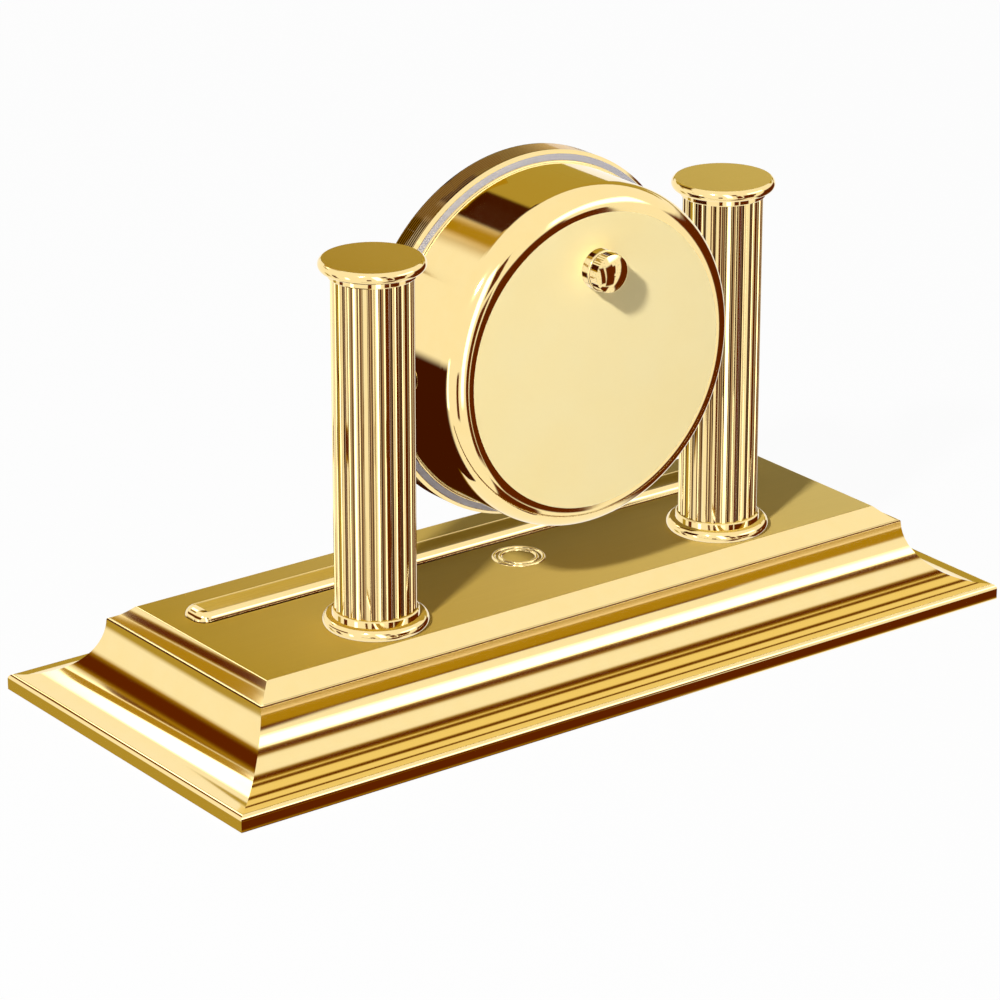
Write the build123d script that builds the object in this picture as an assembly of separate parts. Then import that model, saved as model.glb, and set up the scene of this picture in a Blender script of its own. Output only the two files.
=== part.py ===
"""Desk clock with a pen rest: a drum clock tilting between two fluted columns on a moulded plinth.

Millimetres, +Z up, origin at the bottom centre of the plinth, dial facing -Y.
"""
import os
from math import asin, cos, degrees, hypot, pi, radians, sin, sqrt

from build123d import *

# Fits and cutting
overrun = 1.0              # how far every cutter runs past the face it opens
running_fit = 0.05         # radial play of a turning pin in its hole
push_fit = 0.02            # radial play of a fixed pin in its hole
seat_gap = 0.3             # play round a plate laid in a recess
end_play = 0.1             # axial play of a turning piece

# Plinth moulding, from the slab's edge inwards and up
base_length = 240.0
base_width = 105.6
rim_height = 0.4           # the brass rim stands this far above the table, on the felt
slab_height = 3.2          # top of the upright slab edge
toe_inset = 1.2
toe_land = 0.2             # flat step between the rounded slab and the cove
toe_rise = 1.3             # rounded shoulder above the slab edge
cove_radius = 17.2
neck_drop = 0.8            # the cove stops this far below its centre
lip_run = 0.8
lip_rise = 0.4
slope_run = 4.6
slope_rise = 3.6
slope_hollow = 0.18        # depth of the slope's hollow below a straight line
top_edge_round = 0.4

# Plinth inside
top_wall = 4.0
rim_wall = 8.0
ledge_width = 6.0
step_height = 8.0          # top of the wide lower hollow
upper_wall = 2.4           # from the lip to the upper hollow
base_plate_thickness = 1.5
felt_thickness = 1.0
felt_margin = 1.0          # the felt stops this far inside the plate's edge
plate_screw_radius = 1.5
plate_screw_head_radius = 2.9
plate_screw_head_depth = 1.3
plate_screw_length = 4.0

# Plain border of two round beads on the top, between the columns
border_y = 1.8
border_radius = 6.4
border_step = 1.7
border_bead = 0.45

# Pen rest
rest_length = 180.2
rest_width = 9.6
rest_y = -13.7
rest_height = 2.6
rest_side = 0.1            # upright foot of the bar, below its rounded edges
rest_corner = 3.6          # rounding of the corners seen from above
groove_end = 3.0           # bar left at each end of the groove
groove_width = 6.8
groove_depth = 0.9
peg_radius = 1.6
peg_spacing = 120.0
peg_tail = 1.4             # peg standing below its clip
clip_radius = 4.0
clip_thickness = 0.8

# Columns
column_height = 94.7
column_gap = 0.35          # from the clock's case to a shaft
bezel_clearance = 0.5      # from the bezel's rear edge to a shaft
shaft_radius = 10.2
foot_radius = 13.2
torus_height = 2.8
collar_radius = 10.85
collar_height = 1.75
torus_bulge = 0.9
collar_edge = 0.3
flute_count = 24
flute_width = 1.9
flute_depth = 0.6
rod_radius = 2.5
rod_play = 0.2
rod_end_cover = 2.0        # brass left above the rod in the capital
rod_tail = 2.0             # thread standing below the nut
washer_radius = 5.5
washer_thickness = 1.0
nut_across_flats = 8.0
nut_height = 4.0

# Clock case: steps from the case's side and depths along +Y
clock_rise = 62.1          # clock's axis above the plinth's top
case_room = 5.7            # from the movement's corners to the case's inside
case_wall = 1.2
case_rear = 33.75
case_round = 6.1
bead_proud = 0.8
bead_depth = 0.9
ring_step = 2.3            # mounting ring outside the case
ring_flange = 1.4
ring_lip = 0.7
ring_lip_width = 2.8
spigot_wall = 1.5
bezel_front = 0.2
bezel_rim = 0.95           # bezel outside the mounting ring
bezel_edge = 0.8
rib_count = 9
rib_groove_depth = 0.35
rib_groove_half = 0.2      # half the mouth of one groove
bore_step = 0.6            # bezel's bore inside the case's side
sight_overlap = 2.0        # bezel's lip over the glass
sight_lip = 1.6
sight_chamfer = 1.2
glass_play = 0.1           # round the glass and the dial, in the bore
crystal_thickness = 1.8
gasket_width = 1.2
gasket_thickness = 0.5
rehaut_width = 1.5
rehaut_depth = 2.8
dial_thickness = 0.8
dial_foot_radius = 0.9
dial_foot_length = 1.0
dial_foot_inset = 3.0      # from the movement's side
marker_margin = 2.7        # from the sight opening to a marker
marker_length = 5.0
marker_width = 1.4
marker_height = 0.35

# Side pivots
pivot_radius = 2.5
pivot_thread_length = 6.0
pivot_head_radius = 4.4
pivot_head_height = 2.0
bush_radius = 3.6
bush_flange_radius = 4.8
bush_flange = 1.0
bush_flange_inset = 1.9    # flange's outer face, in from the case's side
bush_proud = 0.1           # the bush stands this far out of the case
friction_washer_thickness = 0.3
slide_gap = 0.05           # axial gap between the bush and what it turns against

# Movement box
box_wall = 1.5
box_corner = 5.0
box_head_room = 1.1        # above the setting pinion
back_gap = 2.2             # from the train to the back of the box
tube_radius = 4.0
post_radius = 2.2
post_merge = 0.2           # how far a post runs into the box's wall
post_rise = 1.8            # lower posts, above the battery divider
box_screw_radius = 1.0
box_screw_length = 6.0
box_screw_head_radius = 1.9
box_screw_head = 1.0
divider_gap = 2.8          # from the hour wheel to the battery divider
divider_thickness = 1.2
window_margin = 1.0        # rim round the battery window

# Battery
cell_radius = 5.2
cell_length = 43.5
nub_radius = 1.9
nub_length = 1.0
cell_gap = 0.3             # under the divider and behind the front wall
cell_floor_gap = 1.0
contact_room = 1.25        # between the cell's end and the box wall
contact_gap = 0.1          # from the strip to the box's rounded corner
contact_thickness = 0.4
contact_bump_radius = 1.7

# Wheels: modules and tooth counts
setting_module = 0.5
setting_teeth = 12
minute_teeth = 36
cannon_teeth = 12
hour_pinion_teeth = 10
hour_teeth = 40
going_module = 0.35
second_teeth = 48
step_pinion_teeth = 8
step_teeth = 40
rotor_teeth = 8
addendum_share = 0.8
dedendum_share = 1.15
root_half_share = 0.25
pitch_half_share = 0.2
tip_half_share = 0.1
step_direction = 30.0      # from the centre to the intermediate wheel, degrees
rotor_direction = 100.0    # from the intermediate wheel to the rotor, degrees

# Arbors, pipes and the depths of the train
second_arbor_radius = 0.5
cannon_radius = 1.5
hour_pipe_radius = 2.4
hub_radius = 4.0
hour_wheel_gap = 0.8       # from the front wall to the hour wheel
hour_wheel_width = 1.2
motion_gap = 1.2           # from the hour wheel to the cannon pinion
pinion_width = 2.2
minute_wheel_width = 1.2
minute_arbor_radius = 0.6
pivot_hole_depth = 0.9
setting_arbor_radius = 1.5
setting_pivot_radius = 0.8
arbor_hole_play = 0.5      # round the setting arbor, in the case
bridge_gap = 0.4           # from the cannon pinion to the bridge
bridge_thickness = 0.8
bridge_half_width = 3.6
bridge_y = 4.4
bridge_pad = 2.2           # metal round an arbor's hole
bridge_post_gap = 0.8      # from a wheel's tip to a bridge post
bridge_screw_radius = 0.8
bridge_screw_head_radius = 1.5
bridge_screw_head = 0.5
bridge_screw_length = 4.0
step_wheel_gap = 0.8       # from the bridge to the intermediate wheel
going_wheel_width = 0.8
step_pinion_gap = 1.0
step_pinion_width = 1.6
step_arbor_radius = 0.4
step_hub_radius = 0.85
rotor_radius = 2.5
rotor_width = 1.5
stator_thickness = 0.8
stator_bar_width = 7.3
stator_arm = 2.4
stator_rise = 9.3          # from the rotor's axis to the top of the stator
stator_fall = 5.0
stator_hole_gap = 0.5
stator_post_radius = 0.9
coil_gap = 0.2             # from the box wall to the coil
coil_radius = 2.9
coil_flange = 0.8
coil_waist_radius = 2.5
coil_end = 1.2             # stator arm past the coil's axis
board_inset = 1.5
board_width = 11.5
board_gap = 0.6            # from the box's posts to the board
board_thickness = 0.8
board_standoff = 1.9
standoff_radius = 1.2
standoff_inset = 2.0
chip_size = 6.0
chip_height = 1.2
can_radius = 1.0
can_length = 6.0

# Hands: margins from the sight opening to the tips
hand_thickness = 0.35
hand_gap = 0.55
hand_clearance = 0.6       # from the dial to the hour hand
second_margin = 5.2
second_tail = 12.0
second_width = 0.7
second_boss_radius = 2.0
minute_margin = 7.2
minute_width = 3.0
hour_margin = 18.2
hour_width = 3.8
hand_tail = 7.0
hand_boss_radius = 3.4
belly_share = 0.3          # widest point of a leaf hand along its length
hour_angle = 305.0
minute_angle = 60.0
second_angle = 210.0

# Setting knob
knob_gap = 0.15
knob_radius = 5.1
knob_collar = 2.0
knob_bead_radius = 5.3
knob_bead = 0.8
knurl_radius = 4.9
knurl_depth = 0.18
knurl_count = 48
knurl_length = 2.6
knob_dome = 1.2
knob_grip_cover = 4.05     # brass left between the arbor's end and the top of the dome

# Insets and heights of the plinth that follow from the sizes above
toe_height = slab_height + toe_rise
cove_centre = toe_height + cove_radius
neck_height = cove_centre - neck_drop
neck_inset = toe_inset + sqrt(cove_radius ** 2 - neck_drop ** 2)
lip_height = neck_height + lip_rise
lip_inset = neck_inset + lip_run
base_top = lip_height + slope_rise
top_inset = lip_inset + slope_run
plate_level = felt_thickness + base_plate_thickness
plate_screw_inset = rim_wall + ledge_width / 2
rest_round = rest_height - rest_side
groove_length = rest_length - 2 * groove_end
peg_length = top_wall + clip_thickness + peg_tail
column_top = base_top + column_height
clock_height = base_top + clock_rise

# Depths of the clock
crystal_front = bezel_front + sight_lip
crystal_rear = crystal_front + crystal_thickness
gasket_rear = crystal_rear + gasket_thickness
dial_front = gasket_rear + rehaut_depth
dial_rear = dial_front + dial_thickness
bezel_rear = dial_rear + ring_lip
hour_hand_front = dial_front - hand_clearance - hand_thickness
minute_hand_front = hour_hand_front - hand_gap - hand_thickness
second_hand_front = minute_hand_front - hand_gap - hand_thickness
box_front = dial_rear
box_inner = box_front + box_wall
hour_wheel_front = box_inner + hour_wheel_gap
hour_wheel_rear = hour_wheel_front + hour_wheel_width
cannon_front = hour_wheel_rear + motion_gap
cannon_rear = cannon_front + pinion_width
minute_wheel_front = cannon_front + (pinion_width - minute_wheel_width) / 2
bridge_front = cannon_rear + bridge_gap
bridge_rear = bridge_front + bridge_thickness
step_wheel_front = bridge_rear + step_wheel_gap
step_wheel_rear = step_wheel_front + going_wheel_width
step_pinion_front = step_wheel_rear + step_pinion_gap
second_wheel_front = step_pinion_front + (step_pinion_width - going_wheel_width) / 2
rotor_front = step_wheel_rear + step_wheel_gap
coil_depth = rotor_front + rotor_width / 2
box_back_inner = step_pinion_front + step_pinion_width + back_gap
box_rear = box_back_inner + box_wall
knob_front = case_rear + knob_gap
knob_rear = knob_front + knob_collar + knob_bead + knurl_length + knob_dome
arbor_rear = knob_rear - knob_grip_cover

# Places of the arbors and the box, seen from behind: x to the right, y up, from the clock's axis
motion_distance = setting_module * (minute_teeth + cannon_teeth) / 2
setting_distance = setting_module * (minute_teeth + setting_teeth) / 2
hour_module = 2 * motion_distance / (hour_teeth + hour_pinion_teeth)
going_distance = going_module * (second_teeth + step_pinion_teeth) / 2
rotor_distance = going_module * (step_teeth + rotor_teeth) / 2
knob_y = motion_distance + setting_distance
step_x = going_distance * cos(radians(step_direction))
step_y = going_distance * sin(radians(step_direction))
rotor_x = step_x + rotor_distance * cos(radians(rotor_direction))
rotor_y = step_y + rotor_distance * sin(radians(rotor_direction))
setting_tip = setting_module * (setting_teeth / 2 + addendum_share)
hour_tip = hour_module * (hour_teeth / 2 + addendum_share)
step_tip = going_module * (step_teeth / 2 + addendum_share)
divider_top = -hour_tip - divider_gap
cell_y = divider_top - divider_thickness - cell_gap - cell_radius
cell_half = (cell_length + nub_length) / 2
box_inside = cell_half + contact_room
box_half_width = box_inside + box_wall
box_top = knob_y + setting_tip + box_head_room + box_wall
box_bottom = cell_y - cell_radius - cell_floor_gap - box_wall
post_inset = box_wall + post_radius - post_merge
cell_depth = box_inner + cell_gap + cell_radius
contact_size = 2 * (cell_radius + cell_floor_gap - box_corner + box_wall - contact_gap)
bridge_left = -hour_tip - bridge_pad - bridge_post_gap
bridge_right = step_x + step_tip + bridge_pad + bridge_post_gap
coil_x = box_inside - coil_gap - coil_radius
stator_top = rotor_y + stator_rise
stator_bottom = rotor_y - stator_fall
board_low = divider_top + post_rise + post_radius + board_gap
board_high = box_top - post_inset - post_radius - board_gap
board_middle = (board_low + board_high) / 2

# Radii of the clock, and the columns' places beside it
box_reach = box_corner + hypot(box_half_width - box_corner, max(box_top, -box_bottom) - box_corner)
case_radius = box_reach + case_room + case_wall
bead_radius = case_radius + bead_proud
ring_radius = case_radius + ring_step
bezel_radius = ring_radius + bezel_rim
bore_radius = case_radius - bore_step
ring_lip_radius = bore_radius - ring_lip_width
glass_radius = bore_radius - glass_play
sight_radius = glass_radius - sight_overlap
marker_radius = sight_radius - marker_margin - marker_length / 2
second_length = sight_radius - second_margin
minute_length = sight_radius - minute_margin
hour_length = sight_radius - hour_margin
dial_foot_spacing = 2 * (box_half_width - dial_foot_inset)
column_x = case_radius + column_gap + shaft_radius
column_reach = column_x - bezel_radius + bezel_edge / 2
column_y = bezel_rear - bezel_edge / 2 + sqrt((shaft_radius + bezel_clearance) ** 2 - column_reach ** 2)

# The clock's own frame: x to the right and y up seen from behind, z along the depth
clock_frame = Plane(origin=(0, 0, clock_height), x_dir=(-1, 0, 0), z_dir=(0, 1, 0))


def turned(points):
    """Turned solid about Z from an outline of (radius, height) points."""
    corners = [(radius, 0, height) for radius, height in points]
    return revolve(make_face(Polyline(*corners, close=True)), Axis.Z)


def rod(radius, start, end, x=0, y=0):
    """Round bar along Z from start to end."""
    return Pos(x, y, start) * extrude(Circle(radius), end - start)


def tube(radius, bore, start, end):
    """Round tube along Z from start to end."""
    return rod(radius, start, end) - rod(bore, start - overrun, end + overrun)


def slab(x_low, x_high, y_low, y_high, z_low, z_high):
    """Rectangular block between its two corners."""
    block = Box(x_high - x_low, y_high - y_low, z_high - z_low, align=Align.MIN)
    return Pos(x_low, y_low, z_low) * block


def spur(teeth, module, width, tooth_angle):
    """Spur wheel blank with straight-flanked teeth, one of them centred on tooth_angle (degrees)."""
    pitch = teeth * module / 2
    tip = pitch + module * addendum_share
    root = pitch - module * dedendum_share
    step = 360 / teeth
    flank = ((root, -root_half_share), (pitch, -pitch_half_share), (tip, -tip_half_share),
             (tip, tip_half_share), (pitch, pitch_half_share), (root, root_half_share))
    points = []
    for index in range(teeth):
        for radius, share in flank:
            angle = radians(tooth_angle + (index + share) * step)
            points.append((radius * cos(angle), radius * sin(angle)))
    return extrude(make_face(Polyline(*points, close=True)), width)


def gap_at(angle, teeth):
    """Tooth angle that puts the middle of a tooth gap at the given angle."""
    return angle + 180 / teeth


# Plinth


def moulding_section(span):
    """Full cross-section of the plinth, as wide as span, drawn in x (across) and y (up)."""
    half = span / 2
    cove_end = degrees(asin(neck_drop / cove_radius))
    cove_middle = radians((90 + cove_end) / 2)
    slab_foot = (half, rim_height)
    slab_top = (half, slab_height)
    toe = (half - toe_inset + toe_land, toe_height)
    cove_start = (half - toe_inset, toe_height)
    cove_mid = (cove_start[0] - cove_radius * cos(cove_middle),
                cove_centre - cove_radius * sin(cove_middle))
    neck = (half - neck_inset, neck_height)
    lip = (half - lip_inset, lip_height)
    top = (half - top_inset, base_top)
    slope_length = hypot(slope_run, slope_rise)
    slope_mid = ((lip[0] + top[0]) / 2 - slope_hollow * slope_rise / slope_length,
                 (lip[1] + top[1]) / 2 - slope_hollow * slope_run / slope_length)
    flank = [
        Line(slab_foot, slab_top),
        TangentArc(slab_top, toe, tangent=(0, 1)),
        Line(toe, cove_start),
        ThreePointArc(cove_start, cove_mid, neck),
        TangentArc(neck, lip, tangent=(0, 1)),
        ThreePointArc(lip, slope_mid, top),
    ]
    other = [mirror(edge, Plane.YZ) for edge in flank]
    closing = [Line(top, (-top[0], top[1])), Line(slab_foot, (-slab_foot[0], slab_foot[1]))]
    return make_face(flank + other + closing)


def column_places():
    """Plan positions of the left and right column."""
    return {"left": (-column_x, column_y), "right": (column_x, column_y)}


def peg_places():
    return [(-peg_spacing / 2, rest_y), (peg_spacing / 2, rest_y)]


def plate_screw_places():
    """Six screws: the corners and the middle of each long side."""
    x = base_length / 2 - plate_screw_inset
    y = base_width / 2 - plate_screw_inset
    return [(column, row) for column in (-x, 0, x) for row in (-y, y)]


def plinth_shell():
    along = extrude(Plane.YZ * moulding_section(base_width), base_length / 2, both=True)
    across = extrude(Plane.XZ * moulding_section(base_length), base_width / 2, both=True)
    body = along & across
    body = fillet(body.faces().sort_by(Axis.Z)[-1].edges(), top_edge_round)
    hollows = ((rim_wall, 0, plate_level),
               (rim_wall + ledge_width, plate_level, step_height),
               (lip_inset + upper_wall, step_height, base_top - top_wall))
    for inset, low, high in hollows:
        start = low - overrun
        body -= slab(inset - base_length / 2, base_length / 2 - inset,
                     inset - base_width / 2, base_width / 2 - inset, start, high)
    for x, y in column_places().values():
        body -= rod(rod_radius + rod_play, base_top - top_wall - overrun, base_top + overrun, x, y)
    for x, y in peg_places():
        body -= rod(peg_radius + push_fit, base_top - top_wall - overrun, base_top + overrun, x, y)
    screw_end = felt_thickness + plate_screw_length + end_play
    for x, y in plate_screw_places():
        body -= rod(plate_screw_radius + push_fit, plate_level - overrun, screw_end, x, y)
    for radius in (border_radius, border_radius - border_step):
        body += Pos(0, border_y, base_top) * Torus(radius, border_bead)
    return body


def countersunk_screw(shank_radius, head_radius, head_depth, length):
    """Countersunk screw pointing up, its head's flat face at z = 0."""
    return turned(((0, 0), (head_radius, 0), (shank_radius, head_depth),
                   (shank_radius, length), (0, length)))


def plate_outline(margin):
    """Half-length and half-width of a plate laid in the plinth's recess."""
    return base_length / 2 - rim_wall - margin, base_width / 2 - rim_wall - margin


def base_plate():
    half_x, half_y = plate_outline(seat_gap)
    plate = slab(-half_x, half_x, -half_y, half_y, felt_thickness, plate_level)
    cone = turned(((0, -overrun), (plate_screw_head_radius + push_fit, -overrun),
                   (plate_screw_head_radius + push_fit, 0),
                   (plate_screw_radius + push_fit, plate_screw_head_depth),
                   (plate_screw_radius + push_fit, base_plate_thickness + overrun),
                   (0, base_plate_thickness + overrun)))
    for x, y in plate_screw_places():
        plate -= Pos(x, y, felt_thickness) * cone
    return plate


def base_plate_screws():
    screw = countersunk_screw(plate_screw_radius, plate_screw_head_radius,
                              plate_screw_head_depth, plate_screw_length)
    return [Pos(x, y, felt_thickness) * screw for x, y in plate_screw_places()]


def felt_pad():
    half_x, half_y = plate_outline(seat_gap + felt_margin)
    return slab(-half_x, half_x, -half_y, half_y, 0, felt_thickness)


def pen_rest():
    """Raised bar with rounded outer edges, a shallow round groove along it and two pegs below."""
    plan = RectangleRounded(rest_length, rest_width, rest_corner)
    bar = Pos(0, rest_y, base_top) * extrude(plan, rest_height)
    bar = fillet(bar.faces().sort_by(Axis.Z)[-1].edges(), rest_round)
    rim = (rest_width - groove_width) / 2
    crest = rest_height - rest_round + sqrt(rest_round ** 2 - (rest_round - rim) ** 2)
    groove_radius = (groove_width ** 2 / 4 + groove_depth ** 2) / (2 * groove_depth)
    groove_floor = base_top + crest - groove_depth
    groove = Rot(0, 90, 0) * rod(groove_radius, -groove_length / 2, groove_length / 2)
    bar -= Pos(0, rest_y, groove_floor + groove_radius) * groove
    for x, y in peg_places():
        bar += rod(peg_radius, base_top - peg_length, (base_top + groove_floor) / 2, x, y)
    return bar


def pen_rest_clips():
    """Push-on rings that hold the pen rest's pegs under the plinth's top."""
    high = base_top - top_wall
    clip = tube(clip_radius, peg_radius + push_fit, high - clip_thickness, high)
    return [Pos(x, y, 0) * clip for x, y in peg_places()]


# Columns


shaft_low = base_top + torus_height + collar_height
shaft_high = column_top - torus_height - collar_height
rod_top = column_top - rod_end_cover
nut_top = base_top - top_wall - washer_thickness
rod_low = nut_top - nut_height - rod_tail


def ring_moulding():
    """Rounded ring with a narrower collar on it, from z = 0 up, without its hole."""
    flat = foot_radius - torus_bulge
    height = torus_height + collar_height
    collar = Polyline((flat, 0, torus_height), (collar_radius, 0, torus_height),
                      (collar_radius, 0, height - collar_edge),
                      (collar_radius - collar_edge, 0, height), (0, 0, height), (0, 0, 0), (flat, 0, 0))
    bulge = ThreePointArc((flat, 0, 0), (foot_radius, 0, torus_height / 2), (flat, 0, torus_height))
    return revolve(make_face([collar, bulge]), Axis.Z)


def pivot_bar(radius, start, end):
    """Round bar on the pivots' line, on the right side, from x = start to x = end."""
    return Pos(0, column_y, clock_height) * Rot(0, 90, 0) * rod(radius, start, end)


def column_foot(x, y):
    ring = Pos(x, y, base_top) * ring_moulding()
    return ring - rod(rod_radius + rod_play, base_top - overrun, shaft_low + overrun, x, y)


def column_capital(x, y):
    ring = Pos(x, y, column_top) * Rot(180, 0, 0) * ring_moulding()
    return ring - rod(rod_radius + push_fit, shaft_high - overrun, rod_top, x, y)


shaft_inner = column_x - shaft_radius


def column_shaft(x, y):
    """Fluted tube of the right column, with the threaded hole for its pivot screw."""
    shaft = tube(shaft_radius, rod_radius + rod_play, shaft_low, shaft_high)
    cutter_radius = (flute_width ** 2 / 4 + flute_depth ** 2) / (2 * flute_depth)
    flute = rod(cutter_radius, shaft_low - overrun, shaft_high + overrun)
    flute = Pos(shaft_radius - flute_depth + cutter_radius, 0, 0) * flute
    pitch = 360 / flute_count
    shaft -= [Rot(0, 0, (index + 0.5) * pitch) * flute for index in range(flute_count)]
    hole_end = shaft_inner + pivot_thread_length + end_play
    return Pos(x, y, 0) * shaft - pivot_bar(pivot_radius + push_fit, shaft_inner - overrun, hole_end)


def column_rod(x, y):
    return rod(rod_radius, rod_low, rod_top, x, y)


def column_nut(x, y):
    hexagon = RegularPolygon(nut_across_flats / 2, 6, major_radius=False)
    nut = Pos(x, y, nut_top - nut_height) * extrude(hexagon, nut_height)
    return nut - rod(rod_radius + push_fit, nut_top - nut_height - overrun, nut_top + overrun, x, y)


def column_washer(x, y):
    washer = tube(washer_radius, rod_radius + rod_play, nut_top, nut_top + washer_thickness)
    return Pos(x, y, 0) * washer


# Side pivots, right side


bush_outer = case_radius + bush_proud
bush_shoulder = case_radius - bush_flange_inset
bush_inner = bush_shoulder - bush_flange
pivot_washer_face = bush_inner - slide_gap
pivot_head_face = pivot_washer_face - friction_washer_thickness


def pivot_screw():
    """Shouldered screw: head inside the case, thread in the column."""
    shank = pivot_bar(pivot_radius, pivot_head_face, shaft_inner + pivot_thread_length)
    head_start = pivot_head_face - pivot_head_height
    head = pivot_bar(pivot_head_radius, head_start, pivot_head_face)
    socket = RegularPolygon(pivot_radius, 6)
    key = extrude(socket, pivot_head_height / 2 + overrun)
    key = Pos(head_start - overrun, column_y, clock_height) * Rot(0, 90, 0) * key
    return shank + head - key


def friction_washer():
    disc = pivot_bar(pivot_head_radius, pivot_head_face, pivot_washer_face)
    return disc - pivot_bar(pivot_radius + push_fit, pivot_head_face - overrun, bush_inner)


def pivot_bush():
    """Flanged bush in the side of the case, turning on the pivot screw."""
    bush = pivot_bar(bush_radius, bush_inner, bush_outer)
    bush += pivot_bar(bush_flange_radius, bush_inner, bush_shoulder)
    return bush - pivot_bar(pivot_radius + running_fit, bush_inner - overrun, bush_outer + overrun)


# Clock case, in the clock's frame


def bezel():
    """Front ring with fine grooves round its edge and a chamfered sight opening."""
    edge_front = bezel_front + bezel_edge
    edge_rear = bezel_rear - bezel_edge
    pitch = (edge_rear - edge_front) / rib_count
    ribs = []
    for index in range(1, rib_count):
        middle = edge_front + index * pitch
        ribs += [(bezel_radius, middle - rib_groove_half),
                 (bezel_radius - rib_groove_depth, middle),
                 (bezel_radius, middle + rib_groove_half)]
    seat = ring_radius + push_fit
    outline = [(sight_radius, crystal_front), (sight_radius, bezel_front + sight_chamfer),
               (sight_radius + sight_chamfer, bezel_front), (bezel_radius - bezel_edge, bezel_front),
               (bezel_radius, edge_front), *ribs, (bezel_radius, edge_rear),
               (bezel_radius - bezel_edge, bezel_rear), (seat, bezel_rear),
               (seat, bezel_rear - ring_flange), (bore_radius, bezel_rear - ring_flange),
               (bore_radius, crystal_front)]
    return turned(outline)


def crystal():
    return rod(glass_radius, crystal_front, crystal_rear)


def crystal_gasket():
    return tube(glass_radius, glass_radius - gasket_width, crystal_rear, gasket_rear)


def rehaut_ring():
    """Sloped ring between the glass and the dial."""
    inner = glass_radius - rehaut_width
    foot = inner - rehaut_width / 2
    return turned(((glass_radius, gasket_rear), (glass_radius, dial_front),
                   (foot, dial_front), (inner, gasket_rear)))


def dial_feet(radius, end):
    return [rod(radius, dial_rear, end, side * dial_foot_spacing / 2) for side in (-1, 1)]


def dial():
    disc = rod(glass_radius, dial_front, dial_rear)
    disc -= rod(tube_radius + push_fit, dial_front - overrun, dial_rear + overrun)
    for foot in dial_feet(dial_foot_radius, dial_rear + dial_foot_length):
        disc += foot
    return disc


def hour_markers():
    """Twelve raised batons on the dial."""
    baton = slab(-marker_width / 2, marker_width / 2, marker_radius - marker_length / 2,
                 marker_radius + marker_length / 2, dial_front - marker_height, dial_front)
    return [Rot(0, 0, hour * 30) * baton for hour in range(12)]


def mounting_ring():
    """Steel ring that closes the bezel, clamps the dial and carries the rear case on its spigot."""
    spigot = case_radius - case_wall - push_fit
    spigot_end = column_y - bush_flange_radius - seat_gap
    return turned(((ring_lip_radius, dial_rear), (bore_radius, dial_rear),
                   (bore_radius, bezel_rear - ring_flange), (ring_radius, bezel_rear - ring_flange),
                   (ring_radius, bezel_rear), (spigot, bezel_rear), (spigot, spigot_end),
                   (spigot - spigot_wall, spigot_end), (spigot - spigot_wall, bezel_rear),
                   (ring_lip_radius, bezel_rear)))


def quarter(centre_radius, centre_height, radius):
    """Quarter arc from the side (pointing out) to the top of a rounded edge."""
    lean = radius * sqrt(0.5)
    return ThreePointArc((centre_radius + radius, 0, centre_height),
                         (centre_radius + lean, 0, centre_height + lean),
                         (centre_radius, 0, centre_height + radius))


def rear_case():
    """Drawn cup with a bead round its mouth and a large round at the back."""
    inside = case_radius - case_wall
    bend = case_radius - case_round
    bend_depth = case_rear - case_round
    bead_mid = bezel_rear + bead_depth / 2
    bead_flat = bead_radius - bead_depth / 2
    edges = [
        Line((inside, 0, bezel_rear), (bead_flat, 0, bezel_rear)),
        ThreePointArc((bead_flat, 0, bezel_rear), (bead_radius, 0, bead_mid),
                      (bead_flat, 0, bezel_rear + bead_depth)),
        Polyline((bead_flat, 0, bezel_rear + bead_depth), (case_radius, 0, bezel_rear + bead_depth),
                 (case_radius, 0, bend_depth)),
        quarter(bend, bend_depth, case_round),
        Polyline((bend, 0, case_rear), (0, 0, case_rear), (0, 0, case_rear - case_wall),
                 (bend, 0, case_rear - case_wall)),
        quarter(bend, bend_depth, case_round - case_wall),
        Line((inside, 0, bend_depth), (inside, 0, bezel_rear)),
    ]
    cup = revolve(make_face(edges), Axis.Z)
    hole = setting_arbor_radius + arbor_hole_play
    cup -= rod(hole, case_rear - case_wall - overrun, case_rear + overrun, 0, knob_y)
    reach = case_radius + overrun
    cup -= Pos(0, 0, column_y) * Rot(0, 90, 0) * rod(bush_radius + push_fit, -reach, reach)
    return cup


# Movement, in the clock's frame


def box_outline(inset):
    plan = RectangleRounded(2 * (box_half_width - inset), box_top - box_bottom - 2 * inset,
                            box_corner - inset)
    return Pos(0, (box_top + box_bottom) / 2, 0) * plan


def box_posts():
    """Places of the four posts that take the box's screws."""
    side = box_half_width - post_inset
    return [(x, y) for x in (-side, side) for y in (box_top - post_inset, divider_top + post_rise)]


def bridge_posts():
    return [(bridge_left, bridge_y), (bridge_right, bridge_y)]


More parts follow.
